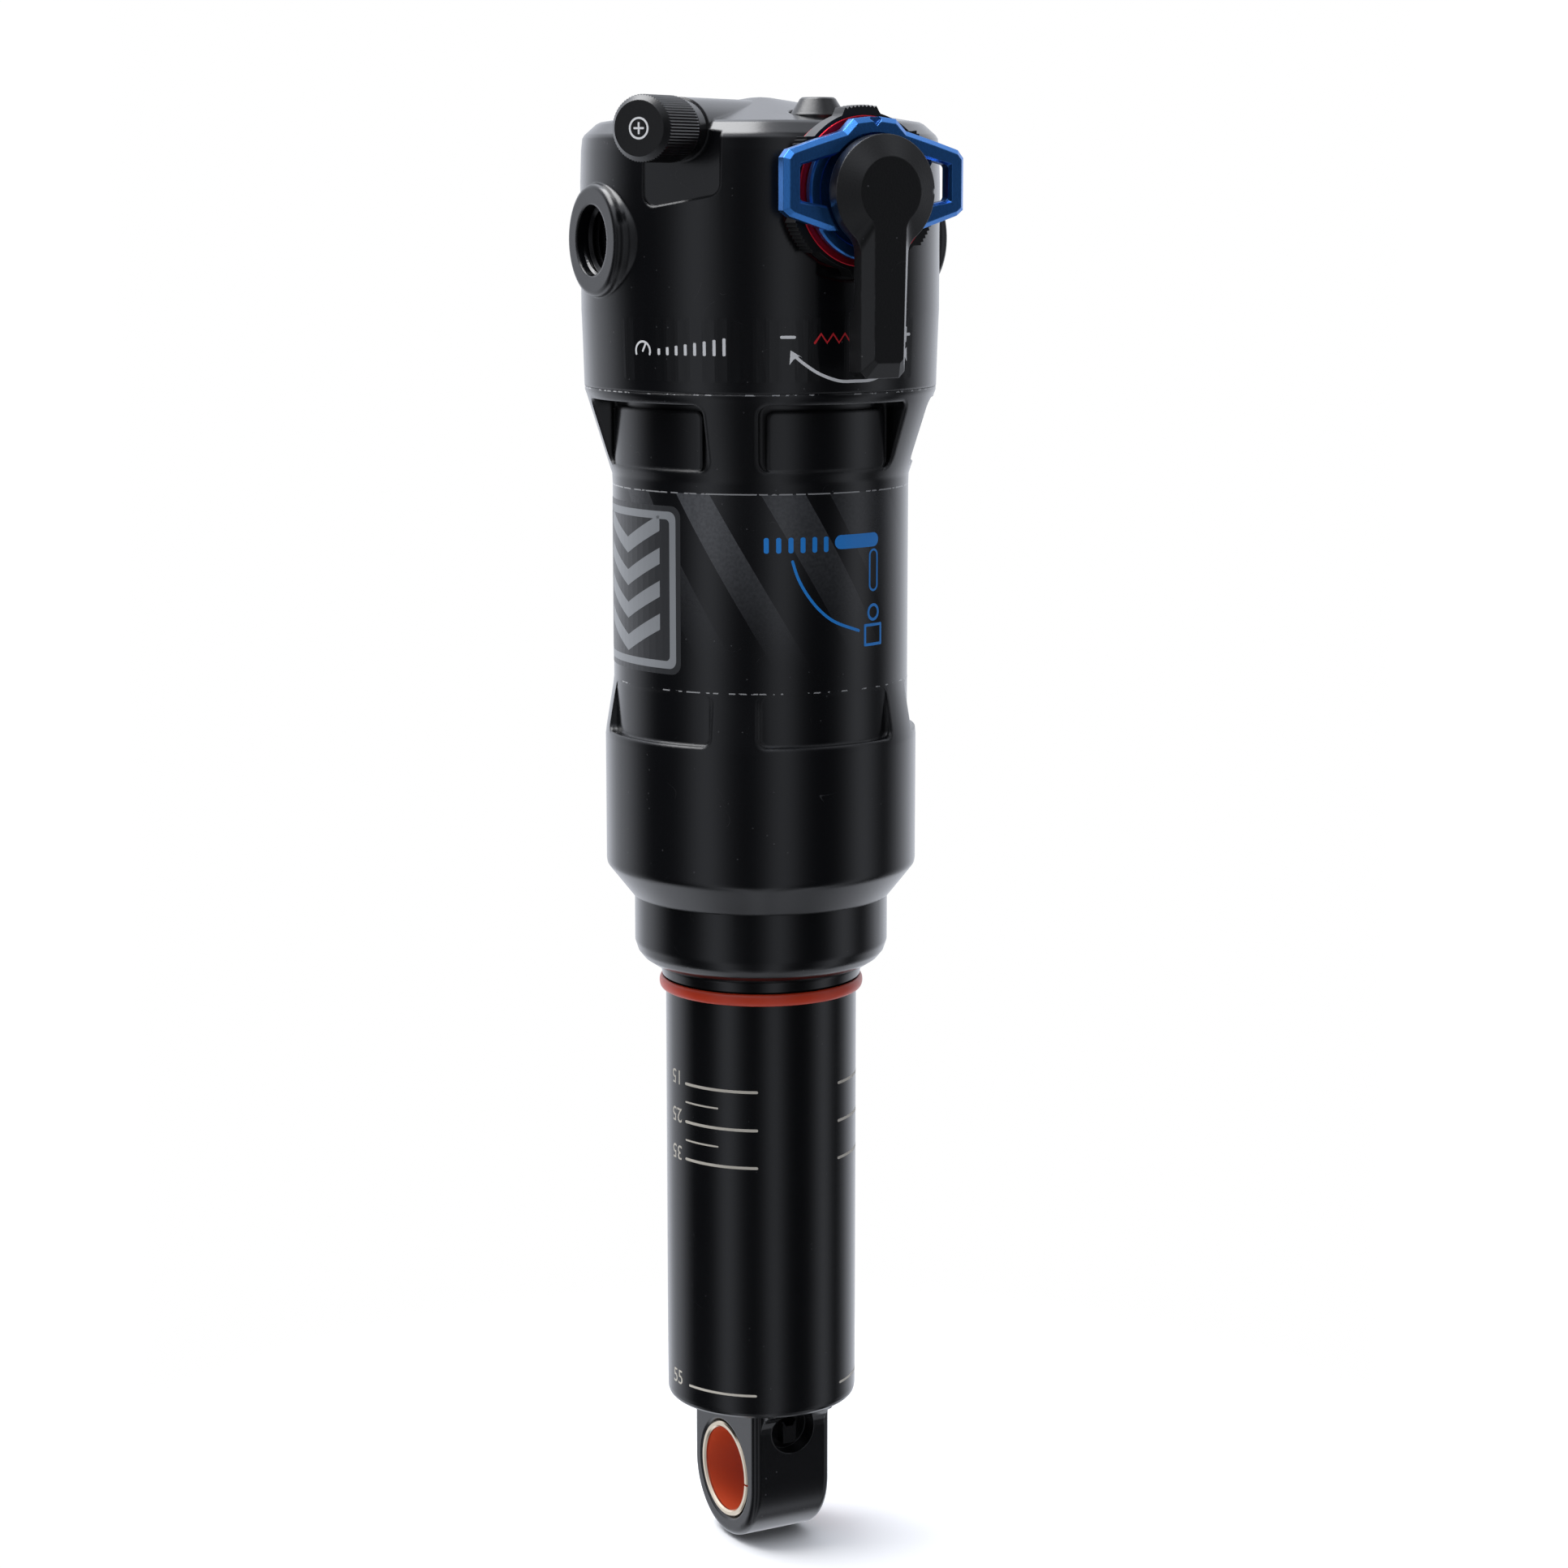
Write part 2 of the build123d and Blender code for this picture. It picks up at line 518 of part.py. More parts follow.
def pedal_lever():
    """Keyhole-shaped lever: a bevelled hub and arm, the arm deeper and hollow at its free end."""
    base = keyhole(7.7, 3.8, 0.75, 25.1, 0.9, 3.0)
    face = keyhole(4.7, 2.5, 0.45, 23.0, 0.55, 2.4)
    bevel = loft([Pos(0, 0, LEVER_EDGE) * base, Pos(0, 0, LEVER_FRONT) * face], ruled=True)
    shank = Pos(0, 0, LEVER_BACK) * extrude(base, LEVER_EDGE - LEVER_BACK)
    heel = Pos(0, 0, 32.7) * extrude(base, LEVER_EDGE - 32.7)
    reach = Polyline((-30.0, 32.0), (-30.0, 36.0), (-15.2, 36.0), (-15.2, LEVER_BACK), (-17.0, 32.0),
                     close=True)
    heel &= extrude(Plane.YZ * make_face(reach), 20, both=True)
    heel -= Pos(0, -17.6, 31.0) * Box(5.2, 6.2, 3.8, align=(Align.CENTER, Align.MAX, Align.MIN))
    lever = shank + bevel + heel
    lever -= tube(LEVER_SPINDLE_R + SLIP, 0, 30, 36.2)
    lever -= Pos(0, 0, 35.2) * Rot(0, 90, 0) * Cylinder(0.8 + SLIP, 12, align=UPRIGHT)
    return ADJUSTERS * lever


def lever_spindle():
    """Thin spindle inside the others, with the cam that presses the compression rod."""
    cam = Pos(0, 0, -1.2) * spiral_disc(LEVER_CAM_R, LEVER_CAM_RISE / LEVER_TURN, LEVER_TURN, 2.4)
    return ADJUSTERS * (tube(LEVER_SPINDLE_R, 0, -1.2, 36.2) + cam)


def lever_set_screw():
    """Grub screw that clamps the lever to its spindle, from the side of the hub."""
    return ADJUSTERS * (Pos(0, 0, 35.2) * Rot(0, 90, 0) * tube(0.8, 0, 1.6, 5.0))


def rebound_rod():
    """Tube that the rebound cam presses through its offset tappet plate."""
    plate_top = ADJUSTER_HEIGHT - REBOUND_CAM_R - CAM_GAP
    rod = tube(2.0, 1.3, 84.5, plate_top - 1.2)
    plate = Pos(0, -2.8, plate_top - 1.2) * Box(3.6, 8.0, 1.2, align=UPRIGHT)
    plate -= Cylinder(1.3, 500)
    return rod + plate


parts["eyelet"] = eyelet()
parts["eye_bush"] = eye_bush()
parts["eye_bush_liner"] = eye_bush_liner()
parts["gas_fill_screw"] = fill_screw()
parts["stanchion"] = stanchion()
parts["air_piston"] = air_piston()
parts["air_piston_seal"] = ring_of(15.2, CAN_BORE_R - RUN_FIT, 105.1, 1.7)
parts["air_piston_glide_ring"] = tube(CAN_BORE_R - RUN_FIT, 15.2, 106.85, 109.55)
parts["shaft_bush"] = tube(6.0, SHAFT_R + RUN_FIT, 100.0, 105.0)
parts["shaft_seal"] = tube(6.0, SHAFT_R + RUN_FIT, 105.3, 109.4)
parts["floating_piston"] = floating_piston()
parts["floating_piston_seal"] = ring_of(11.6, DAMPER_BORE_R - RUN_FIT, 27.7, 2.9)
parts["sag_ring"] = ring_of(STANCHION_R + RUN_FIT, 15.15, 75.8, 1.8)
parts["damper_shaft"] = damper_shaft()
parts["main_piston"] = main_piston()
parts["piston_glide_band"] = tube(DAMPER_BORE_R - RUN_FIT, 11.6, 87.65, 91.35)
parts["compression_shims"] = shim_stack(PISTON_HIGH, 0.3, (10.5, 8.5, 6.5))
parts["rebound_shims"] = shim_stack(PISTON_LOW - 0.3, -0.3, (10.5, 8.5, 6.5))
parts["piston_nut"] = piston_nut()
parts["top_out_bumper"] = tube(7.5, SHAFT_R, 94.4, 95.3)
parts["bottom_out_bumper"] = tube(9.0, SHAFT_R, 168.6, HEAD_CAVITY_TOP)
parts["inner_air_can"] = inner_air_can()
parts["outer_air_can"] = outer_air_can()
parts["wiper_seal"] = wiper_seal()
parts["can_air_seal"] = tube(NECK_BORE_R - 0.02, STANCHION_R + RUN_FIT, 82.4, 85.6)
parts["can_guide_bush"] = tube(NECK_BORE_R - 0.02, STANCHION_R + RUN_FIT, 86.2, 94.6)
sleeve_seals = [ring_of(CAN_R, 19.7, 91.9, 1.7), ring_of(CAN_R, 19.7, 160.1, 1.7)]
parts["sleeve_o_rings"] = Compound(children=[seal.solid() for seal in sleeve_seals])
parts["trunnion_head"] = trunnion_head()
parts["bleed_plug"] = bleed_plug()
parts["valve_stem"] = valve_stem()
parts["valve_core"] = valve_core()
parts["valve_cap"] = valve_cap()
parts["adjuster_housing"] = ADJUSTERS * tube(HOUSING_R, REBOUND_SPINDLE_R + RUN_FIT, HOUSING_BACK,
                                             HOUSING_FRONT)
parts["rebound_grip"] = rebound_grip()
parts["rebound_core"] = rebound_core()
parts["rebound_spindle"] = rebound_spindle()
parts["rebound_rod"] = rebound_rod()
parts["compression_dial"] = compression_dial()
parts["compression_spindle"] = ADJUSTERS * tube(COMPRESSION_SPINDLE_R, LEVER_SPINDLE_R + RUN_FIT, 7.4, 33.3)
parts["pedal_lever"] = pedal_lever()
parts["lever_spindle"] = lever_spindle()
parts["lever_set_screw"] = lever_set_screw()
parts["compression_rod"] = tube(1.1, 0, 83.0, ADJUSTER_HEIGHT - LEVER_CAM_R - CAM_GAP)

for name, shape in parts.items():
    export_step(shape, f"parts/{name}.step")
    print(f"{name}: {shape.volume:.1f} mm3")
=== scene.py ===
import json
from math import cos, hypot, pi, radians, sin

import bmesh
import bpy
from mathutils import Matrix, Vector
from mathutils.bvhtree import BVHTree


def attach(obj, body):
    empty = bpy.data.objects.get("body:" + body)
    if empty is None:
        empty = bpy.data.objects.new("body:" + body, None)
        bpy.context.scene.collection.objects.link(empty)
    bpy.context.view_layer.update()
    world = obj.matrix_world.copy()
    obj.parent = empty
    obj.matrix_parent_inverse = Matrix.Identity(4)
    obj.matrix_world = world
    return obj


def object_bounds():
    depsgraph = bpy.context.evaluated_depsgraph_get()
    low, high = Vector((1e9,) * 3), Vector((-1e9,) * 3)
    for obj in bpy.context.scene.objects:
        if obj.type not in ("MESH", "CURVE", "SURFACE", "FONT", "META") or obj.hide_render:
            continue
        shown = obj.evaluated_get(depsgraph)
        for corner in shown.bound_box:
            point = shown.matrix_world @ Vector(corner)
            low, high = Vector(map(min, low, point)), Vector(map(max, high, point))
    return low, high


# Rear shock: looks. Everything is in metres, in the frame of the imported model.
# Z is the shock's axis, the eye's centre is the origin and the adjusters face -Y.
MM = 0.001

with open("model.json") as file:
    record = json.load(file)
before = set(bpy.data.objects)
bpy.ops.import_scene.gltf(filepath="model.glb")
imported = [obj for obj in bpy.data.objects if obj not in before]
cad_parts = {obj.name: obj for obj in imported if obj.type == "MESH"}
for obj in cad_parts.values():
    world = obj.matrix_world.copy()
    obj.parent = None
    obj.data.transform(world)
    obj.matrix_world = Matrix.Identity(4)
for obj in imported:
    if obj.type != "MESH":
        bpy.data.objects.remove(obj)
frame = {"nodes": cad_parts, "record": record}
cad_box = [list(corner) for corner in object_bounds()]
NODES = frame["nodes"]

# ---- camera: where it stands, and its lens ----
CAMERA_BEARING = radians(-118.233)
CAMERA_DISTANCE = 0.51035
CAMERA_HEIGHT = 0.19252
CAMERA_TILT = radians(9.705)
CAMERA_PAN = radians(0.3856)
LENS_MM = 80.26


def make_camera():
    """Camera at the shock's left front, a little above the trunnion's height, looking slightly down."""
    data = bpy.data.cameras.new("camera")
    data.lens = LENS_MM
    data.sensor_width = 36.0
    data.clip_start = 0.01
    data.clip_end = 20.0
    camera = bpy.data.objects.new("camera", data)
    bpy.context.scene.collection.objects.link(camera)
    camera.location = (CAMERA_DISTANCE * cos(CAMERA_BEARING), CAMERA_DISTANCE * sin(CAMERA_BEARING),
                       CAMERA_HEIGHT)
    heading = CAMERA_BEARING + pi - CAMERA_PAN
    forward = Vector((cos(heading) * cos(CAMERA_TILT), sin(heading) * cos(CAMERA_TILT), -sin(CAMERA_TILT)))
    camera.rotation_euler = forward.to_track_quat("-Z", "Y").to_euler()
    bpy.context.scene.camera = camera


# ---- node helpers ----
class Graph:
    """A small shader-building helper: every method adds one node and returns its output socket."""

    def __init__(self, tree):
        self.tree = tree

    def add(self, kind, inputs=(), output=0, **settings):
        node = self.tree.nodes.new(kind)
        for key, value in settings.items():
            setattr(node, key, value)
        for key, value in dict(inputs).items():
            self.put(node.inputs[key], value)
        return node.outputs[output]

    def put(self, socket, value):
        if isinstance(value, bpy.types.NodeSocket):
            self.tree.links.new(value, socket)
        else:
            socket.default_value = value

    def math(self, operation, a, b=0.0, c=0.0, clamp=False):
        return self.add("ShaderNodeMath", {0: a, 1: b, 2: c}, operation=operation, use_clamp=clamp)

    def step(self, value, low, high, from_value=0.0, to_value=1.0):
        """Smooth change of value from from_value to to_value between low and high."""
        return self.add("ShaderNodeMapRange", {"Value": value, "From Min": low, "From Max": high,
                                               "To Min": from_value, "To Max": to_value},
                        interpolation_type="SMOOTHSTEP")

    def above(self, value, limit):
        return self.math("GREATER_THAN", value, limit)

    def mix(self, factor, a, b):
        node = self.tree.nodes.new("ShaderNodeMix")
        node.data_type = "RGBA"
        self.put(node.inputs[0], factor)
        self.put(node.inputs[6], a)
        self.put(node.inputs[7], b)
        return node.outputs[2]

    def place(self):
        """Object coordinates, in metres."""
        return self.add("ShaderNodeTexCoord", output="Object")

    def split(self, vector):
        node = self.tree.nodes.new("ShaderNodeSeparateXYZ")
        self.put(node.inputs[0], vector)
        return node.outputs

    def noise(self, vector, scale, detail=3.0, roughness=0.5):
        return self.add("ShaderNodeTexNoise", {"Vector": vector, "Scale": scale, "Detail": detail,
                                               "Roughness": roughness})

    def stretch(self, vector, factors):
        return self.add("ShaderNodeMapping", {"Vector": vector, "Scale": factors})


def rgb(r, g, b):
    return (r, g, b, 1.0)


# The studio's panels: bearing from the camera's in degrees, half-width, and brightness.
PANELS = ((-41, 15, 0.62), (16, 13, 0.52), (81, 14, 0.62), (150, 16, 0.3), (-150, 16, 0.3))
STUDIO_LEVEL = 0.035
STUDIO_TINT = rgb(0.94, 0.975, 1.06)

# Behind the shock the studio is bright, from SIDE_START to SIDE_FULL degrees off SIDE_CENTRE.
SIDE_CENTRE = 7
SIDE_START = 94
SIDE_FULL = 130
SIDE_LEVEL = 0.9

# The ceiling's brightness falls from left to right, and the ground is dim.
OVERHEAD_LEFT = -25
OVERHEAD_RIGHT = 60
OVERHEAD_LEVELS = (1.5, 0.3)
GROUND_LEVEL = 0.35

FLOOR_R = 0.13
FLOOR_GAP = 0.0005
FLOOR_SOLID_R = 0.03


def make_world():
    """Soft studio: tall dim panels in front and behind, bright sides, and a white backdrop."""
    world = bpy.data.worlds.new("studio")
    bpy.context.scene.world = world
    world.use_nodes = True
    tree = world.node_tree
    tree.nodes.clear()
    g = Graph(tree)
    x, y, z = g.split(g.add("ShaderNodeTexCoord", output="Generated"))
    bearing = g.math("ARCTAN2", y, x)
    turn = g.math("WRAP", g.math("SUBTRACT", bearing, CAMERA_BEARING), -pi, pi)
    level = STUDIO_LEVEL
    for centre, width, strength in PANELS:
        offset = g.math("DIVIDE", g.math("SUBTRACT", turn, radians(centre)), radians(width))
        bump = g.math("EXPONENT", g.math("MULTIPLY", g.math("MULTIPLY", offset, offset), -1.0))
        level = g.math("ADD", level, g.math("MULTIPLY", bump, strength))
    off_centre = g.math("ABSOLUTE", g.math("SUBTRACT", turn, radians(SIDE_CENTRE)))
    side = g.step(off_centre, radians(SIDE_START), radians(SIDE_FULL), 0.0, SIDE_LEVEL)
    level = g.math("ADD", level, side)
    to_right = g.step(turn, radians(OVERHEAD_LEFT), radians(OVERHEAD_RIGHT), *OVERHEAD_LEVELS)
    level = g.math("ADD", level, g.math("MULTIPLY", g.step(z, 0.35, 0.8), to_right))
    level = g.math("ADD", level, g.step(z, -0.7, -1.0, 0.0, GROUND_LEVEL))
    seen = g.add("ShaderNodeLightPath", output="Is Camera Ray")
    strength = g.math("MAXIMUM", level, seen)
    tint = g.mix(seen, STUDIO_TINT, rgb(1, 1, 1))
    shade = g.add("ShaderNodeBackground", {"Color": tint, "Strength": strength})
    out = tree.nodes.new("ShaderNodeOutputWorld")
    tree.links.new(shade, out.inputs[0])


def area_light(name, location, target, size, power):
    data = bpy.data.lights.new(name, "AREA")
    data.shape = "RECTANGLE"
    data.size, data.size_y = size
    data.energy = power
    light = bpy.data.objects.new(name, data)
    bpy.context.scene.collection.objects.link(light)
    light.location = location
    aim = Vector(target) - Vector(location)
    light.rotation_euler = aim.to_track_quat("-Z", "Y").to_euler()


def make_floor():
    """Pale round floor under the eye, which fades into the white studio."""
    mesh = bpy.data.meshes.new("floor")
    bm = bmesh.new()
    bmesh.ops.create_circle(bm, cap_ends=True, radius=FLOOR_R, segments=96)
    bm.to_mesh(mesh)
    bm.free()
    floor = bpy.data.objects.new("floor", mesh)
    bpy.context.scene.collection.objects.link(floor)
    floor.location = (0, 0, cad_box[0][2] - FLOOR_GAP)
    floor.visible_glossy = False
    mat = bpy.data.materials.new("floor")
    mat.use_nodes = True
    tree = mat.node_tree
    tree.nodes.clear()
    g = Graph(tree)
    x, y, _ = g.split(g.place())
    reach = g.math("SQRT", g.math("ADD", g.math("MULTIPLY", x, x), g.math("MULTIPLY", y, y)))
    pale = g.add("ShaderNodeBsdfDiffuse", {"Color": rgb(0.9, 0.9, 0.9)})
    clear = g.add("ShaderNodeBsdfTransparent")
    fade = g.step(reach, FLOOR_SOLID_R, FLOOR_R * 0.95)
    blend = g.add("ShaderNodeMixShader", {0: fade, 1: pale, 2: clear})
    out = tree.nodes.new("ShaderNodeOutputMaterial")
    tree.links.new(blend, out.inputs[0])
    mesh.materials.append(mat)


# ---- materials ----
def edge_wear_and_glint_mask(g, radius):
    """One near the edges of a part, zero on its flats."""
    rounded = g.add("ShaderNodeBevel", {"Radius": radius}, samples=6)
    flat = g.add("ShaderNodeNewGeometry", output="Normal")
    along = g.add("ShaderNodeVectorMath", {0: rounded, 1: flat}, output=1, operation="DOT_PRODUCT")
    return g.step(along, 0.985, 0.86, 0.0, 1.0), rounded


def specks(g, place):
    """Sparse dust: one on a few tiny dots."""
    voronoi = g.tree.nodes.new("ShaderNodeTexVoronoi")
    g.put(voronoi.inputs["Vector"], place)
    voronoi.inputs["Scale"].default_value = 1100.0
    chance = g.split(voronoi.outputs["Color"])[0]
    small = g.math("LESS_THAN", voronoi.outputs["Distance"], 0.13)
    return g.math("MULTIPLY", small, g.above(chance, 0.94))


def hairlines(g, place):
    """Sparse fine scratches: one on thin wandering lines."""
    wander = g.noise(place, 200.0, 0.0)
    line = g.math("LESS_THAN", g.math("ABSOLUTE", g.math("SUBTRACT", wander, 0.5)), 0.0007)
    return g.math("MULTIPLY", line, g.above(g.noise(place, 230.0, 1.0), 0.64))


# Lighter grey for edges: partly worn bare metal, partly a painted highlight standing in for edge glints.
WORN_EDGE_AND_GLINT = rgb(0.30, 0.30, 0.31)
DUSTY = rgb(0.35, 0.35, 0.36)


def surface(name, color, roughness, metallic=0.0, grain=(1500, 0.02), bump=0.0, edge=0.0, wear_and_glint=0.0, dust=0.0,
            turned_by=1.0):
    """Principled material: mottled colour, fine grain in roughness and bump, dust, and edges painted lighter
    grey, partly as wear and partly as a painted edge highlight.

    grain is the noise's scale and how far it moves the roughness; edge is the radius, in metres, that
    sharp edges are rounded to; turned_by stretches the grain around the part, as turning marks.
    """
    mat = bpy.data.materials.new(name)
    mat.use_nodes = True
    shader = mat.node_tree.nodes["Principled BSDF"]
    g = Graph(mat.node_tree)
    place = g.place()
    scale, spread = grain
    lay = g.stretch(place, (1.0 / turned_by, 1.0 / turned_by, 1.0)) if turned_by != 1.0 else place
    fine = g.noise(lay, scale)
    dark = tuple(c * 0.82 for c in color)
    light = tuple(min(1.0, c * 1.15) for c in color)
    tone = g.mix(g.noise(place, 60.0), rgb(*dark), rgb(*light))
    normal = None
    if edge:
        mask, normal = edge_wear_and_glint_mask(g, edge)
        # Edges painted lighter grey: partly wear, partly a painted highlight standing in for the glints
        # along rounded edges.
        if wear_and_glint:
            worn_and_glint = g.math("MULTIPLY", mask, g.step(g.noise(place, 420.0), 0.4, 0.7, 0.0, wear_and_glint))
            tone = g.mix(worn_and_glint, tone, WORN_EDGE_AND_GLINT)
    if dust:
        marks = g.math("MULTIPLY", g.math("ADD", specks(g, place), hairlines(g, place), clamp=True), dust)
        tone = g.mix(marks, tone, DUSTY)
    g.put(shader.inputs["Base Color"], tone)
    varied = g.math("ADD", roughness - spread, g.math("MULTIPLY", fine, 2 * spread))
    g.put(shader.inputs["Roughness"], varied)
    shader.inputs["Metallic"].default_value = metallic
    if bump:
        grains = {"Height": fine, "Strength": bump, "Distance": 0.00005}
        if normal:
            grains["Normal"] = normal
        normal = g.add("ShaderNodeBump", grains)
    if normal:
        g.put(shader.inputs["Normal"], normal)
    return mat


def base_color(mat):
    """The graph, the colour now feeding the material, and the socket it feeds."""
    g = Graph(mat.node_tree)
    socket = mat.node_tree.nodes["Principled BSDF"].inputs["Base Color"]
    return g, socket.links[0].from_socket, socket


def around(g, place):
    """Bearing about the shock's axis in degrees, and height in millimetres."""
    x, y, z = g.split(place)
    return g.math("MULTIPLY", g.math("ARCTAN2", y, x), 180.0 / pi), g.math("MULTIPLY", z, 1000.0)


# The film's heights in millimetres; its stripes' slope in degrees per millimetre; each stripe's start
# bearing at the film's top, with its lightness.
FILM_LOW = 121.75
FILM_TOP = 149.95
STRIPE_LEAN = 1.578
STRIPES = ((-166.1, 0.02), (-152.2, 1.0), (-138.5, 0.05), (-118.6, 0.62), (-102.2, 0.0), (-91.7, 0.3),
           (-61.6, 0.0), (-30.0, 0.6), (-14.0, 0.1), (22.0, 0.9), (36.0, 0.05), (70.0, 0.5), (90.0, 0.0),
           (118.0, 0.8), (133.0, 0.1))
SCUFF_HALF_WIDTH = 0.09
STRIPE_TONE = rgb(0.075, 0.077, 0.082)
SCUFF_TONE = rgb(0.30, 0.30, 0.30)
SCUFFS = ((FILM_TOP, 0.46), (FILM_LOW, 0.56), (164.0, 0.56))


def scuffed_line(g, place, height, z, share):
    """A thin broken line of scuffs around the shock at height z, in millimetres; share breaks it up."""
    near = g.math("LESS_THAN", g.math("ABSOLUTE", g.math("SUBTRACT", height, z)), SCUFF_HALF_WIDTH)
    broken = g.above(g.noise(place, 900.0, 2.0), share)
    return g.math("MULTIPLY", near, broken)


def add_film(mat):
    """Printed film on the can's waist: diagonal stripes that fade downwards, and scuffed film edges."""
    g, tone, socket = base_color(mat)
    place = g.place()
    bearing, height = around(g, place)
    slid = g.math("SUBTRACT", bearing, g.math("MULTIPLY", g.math("SUBTRACT", FILM_TOP, height), STRIPE_LEAN))
    slid = g.math("DIVIDE", g.math("ADD", g.math("WRAP", slid, -180.0, 180.0), 180.0), 360.0)
    ramp = g.tree.nodes.new("ShaderNodeValToRGB")
    ramp.color_ramp.interpolation = "CONSTANT"
    points = ramp.color_ramp.elements
    points.remove(points[1])
    points[0].position = 0.0
    points[0].color = rgb(0.45, 0.45, 0.45)
    for start, level in STRIPES:
        point = points.new((start + 180.0) / 360.0)
        point.color = rgb(level, level, level)
    g.put(ramp.inputs[0], slid)
    level = g.add("ShaderNodeRGBToBW", {0: ramp.outputs[0]})
    inside = g.math("MULTIPLY", g.above(height, FILM_LOW), g.math("LESS_THAN", height, FILM_TOP))
    fade = g.step(height, FILM_LOW + 2.0, FILM_TOP, 0.0, 1.0)
    grainy = g.step(g.noise(place, 2200.0), 0.25, 0.75, 0.75, 1.1)
    amount = g.math("MULTIPLY", g.math("MULTIPLY", level, inside), g.math("MULTIPLY", fade, grainy))
    tone = g.mix(amount, tone, STRIPE_TONE)
    for z, share in SCUFFS:
        tone = g.mix(scuffed_line(g, place, height, z, share), tone, SCUFF_TONE)
    g.put(socket, tone)


BLACK = (0.0028, 0.0030, 0.0037)
MATERIALS = {
    "head_black": surface("head_black", BLACK, 0.19, bump=0.04, grain=(2500, 0.02), edge=0.0005, dust=0.10),
    "can_black": surface("can_black", BLACK, 0.18, bump=0.03, grain=(2500, 0.02), edge=0.0008, dust=0.10),
    "stanchion_black": surface("stanchion_black", (0.0024, 0.0026, 0.0032), 0.17, grain=(3500, 0.05),
                               bump=0.05, turned_by=14.0, dust=0.05),
    "eyelet_black": surface("eyelet_black", (0.0030, 0.0032, 0.0038), 0.2, grain=(2500, 0.03),
                            edge=0.0003, wear_and_glint=0.12, dust=0.12),
    "lever_black": surface("lever_black", (0.0028, 0.0028, 0.0031), 0.32, bump=0.25, grain=(3500, 0.05),
                           edge=0.00022, wear_and_glint=0.3, dust=0.22),
    "bush_nickel": surface("bush_nickel", (0.74, 0.64, 0.50), 0.25, metallic=1.0, grain=(2500, 0.05)),
    "liner_red": surface("liner_red", (0.50, 0.060, 0.015), 0.5, grain=(2500, 0.05), bump=0.1),
    "seal_black": surface("seal_black", (0.004, 0.004, 0.0045), 0.14, grain=(1500, 0.02)),
    "ring_orange": surface("ring_orange", (0.60, 0.045, 0.012), 0.36, grain=(2200, 0.05), bump=0.08),
    "red_anodised": surface("red_anodised", (0.60, 0.010, 0.03), 0.3, metallic=0.75, grain=(3000, 0.05),
                            edge=0.0001),
    "blue_anodised": surface("blue_anodised", (0.045, 0.19, 0.54), 0.24, metallic=0.9, bump=0.25,
                             grain=(3500, 0.05), edge=0.00018, wear_and_glint=0.12),
    "grip_black": surface("grip_black", (0.0035, 0.0035, 0.0038), 0.36, grain=(3000, 0.04), edge=0.00012),
    "cap_black": surface("cap_black", (0.0035, 0.0035, 0.0038), 0.33, bump=0.2, grain=(3500, 0.05),
                         edge=0.00015, wear_and_glint=0.15),
    "steel": surface("steel", (0.42, 0.42, 0.44), 0.3, metallic=1.0, edge=0.0001),
    "chrome_shaft": surface("chrome_shaft", (0.75, 0.76, 0.78), 0.08, metallic=1.0),
    "spring_steel": surface("spring_steel", (0.45, 0.47, 0.52), 0.3, metallic=1.0),
    "bare_aluminium": surface("bare_aluminium", (0.70, 0.71, 0.73), 0.35, metallic=1.0),
    "brass": surface("brass", (0.72, 0.50, 0.22), 0.3, metallic=1.0),
    "glide_polymer": surface("glide_polymer", (0.30, 0.20, 0.11), 0.55, bump=0.1),
    "bumper_polymer": surface("bumper_polymer", (0.05, 0.05, 0.045), 0.5, bump=0.1),
    "laser_grey": surface("laser_grey", (0.46, 0.43, 0.37), 0.55, bump=0.1, grain=(5000, 0.1)),
    "print_white": surface("print_white", (0.80, 0.80, 0.80), 0.45, grain=(3000, 0.05)),
    "print_red": surface("print_red", (0.62, 0.012, 0.02), 0.45, grain=(3000, 0.05)),
    "print_blue": surface("print_blue", (0.010, 0.235, 0.72), 0.42, grain=(3000, 0.05)),
    "badge_grey": surface("badge_grey", (0.24, 0.25, 0.26), 0.42, grain=(3000, 0.05), dust=0.2),
    "badge_dark": surface("badge_dark", (0.028, 0.029, 0.031), 0.38, grain=(3000, 0.05)),
    "film_clear": surface("film_clear", BLACK, 0.20, grain=(3000, 0.03), dust=0.1),
    "thread_black": surface("thread_black", (0.006, 0.006, 0.0066), 0.16, grain=(3000, 0.04)),
}
add_film(MATERIALS["can_black"])

SLOTS = {part["node"]: part["material_slot"] for part in frame["record"]["subparts"]}
# Painted shade: the gas fill screw gets the black seal material so that the port it sits in looks dark.
PAINTED_SHADE_OVERRIDES = {"gas_fill_screw": "seal_black"}      # steel by its slot, but drawn black as painted shade inside its port
for node, obj in NODES.items():
    obj.data.materials.clear()
    obj.data.materials.append(MATERIALS[PAINTED_SHADE_OVERRIDES.get(node, SLOTS[node])])


# ---- prints: thin closed shells that follow the surface of a node ----
def rounded(x0, y0, x1, y1, r, steps=6):
    """Outline of a rectangle with rounded corners."""
    points = []
    corners = ((x1 - r, y1 - r, 0), (x0 + r, y1 - r, 90), (x0 + r, y0 + r, 180), (x1 - r, y0 + r, 270))
    for cx, cy, start in corners:
        for i in range(steps + 1):
            angle = radians(start + 90.0 * i / steps)
            points.append((cx + r * cos(angle), cy + r * sin(angle)))
    return points


def ring(cx, cy, r, steps=24):
    return [(cx + r * cos(2 * pi * i / steps), cy + r * sin(2 * pi * i / steps)) for i in range(steps)]


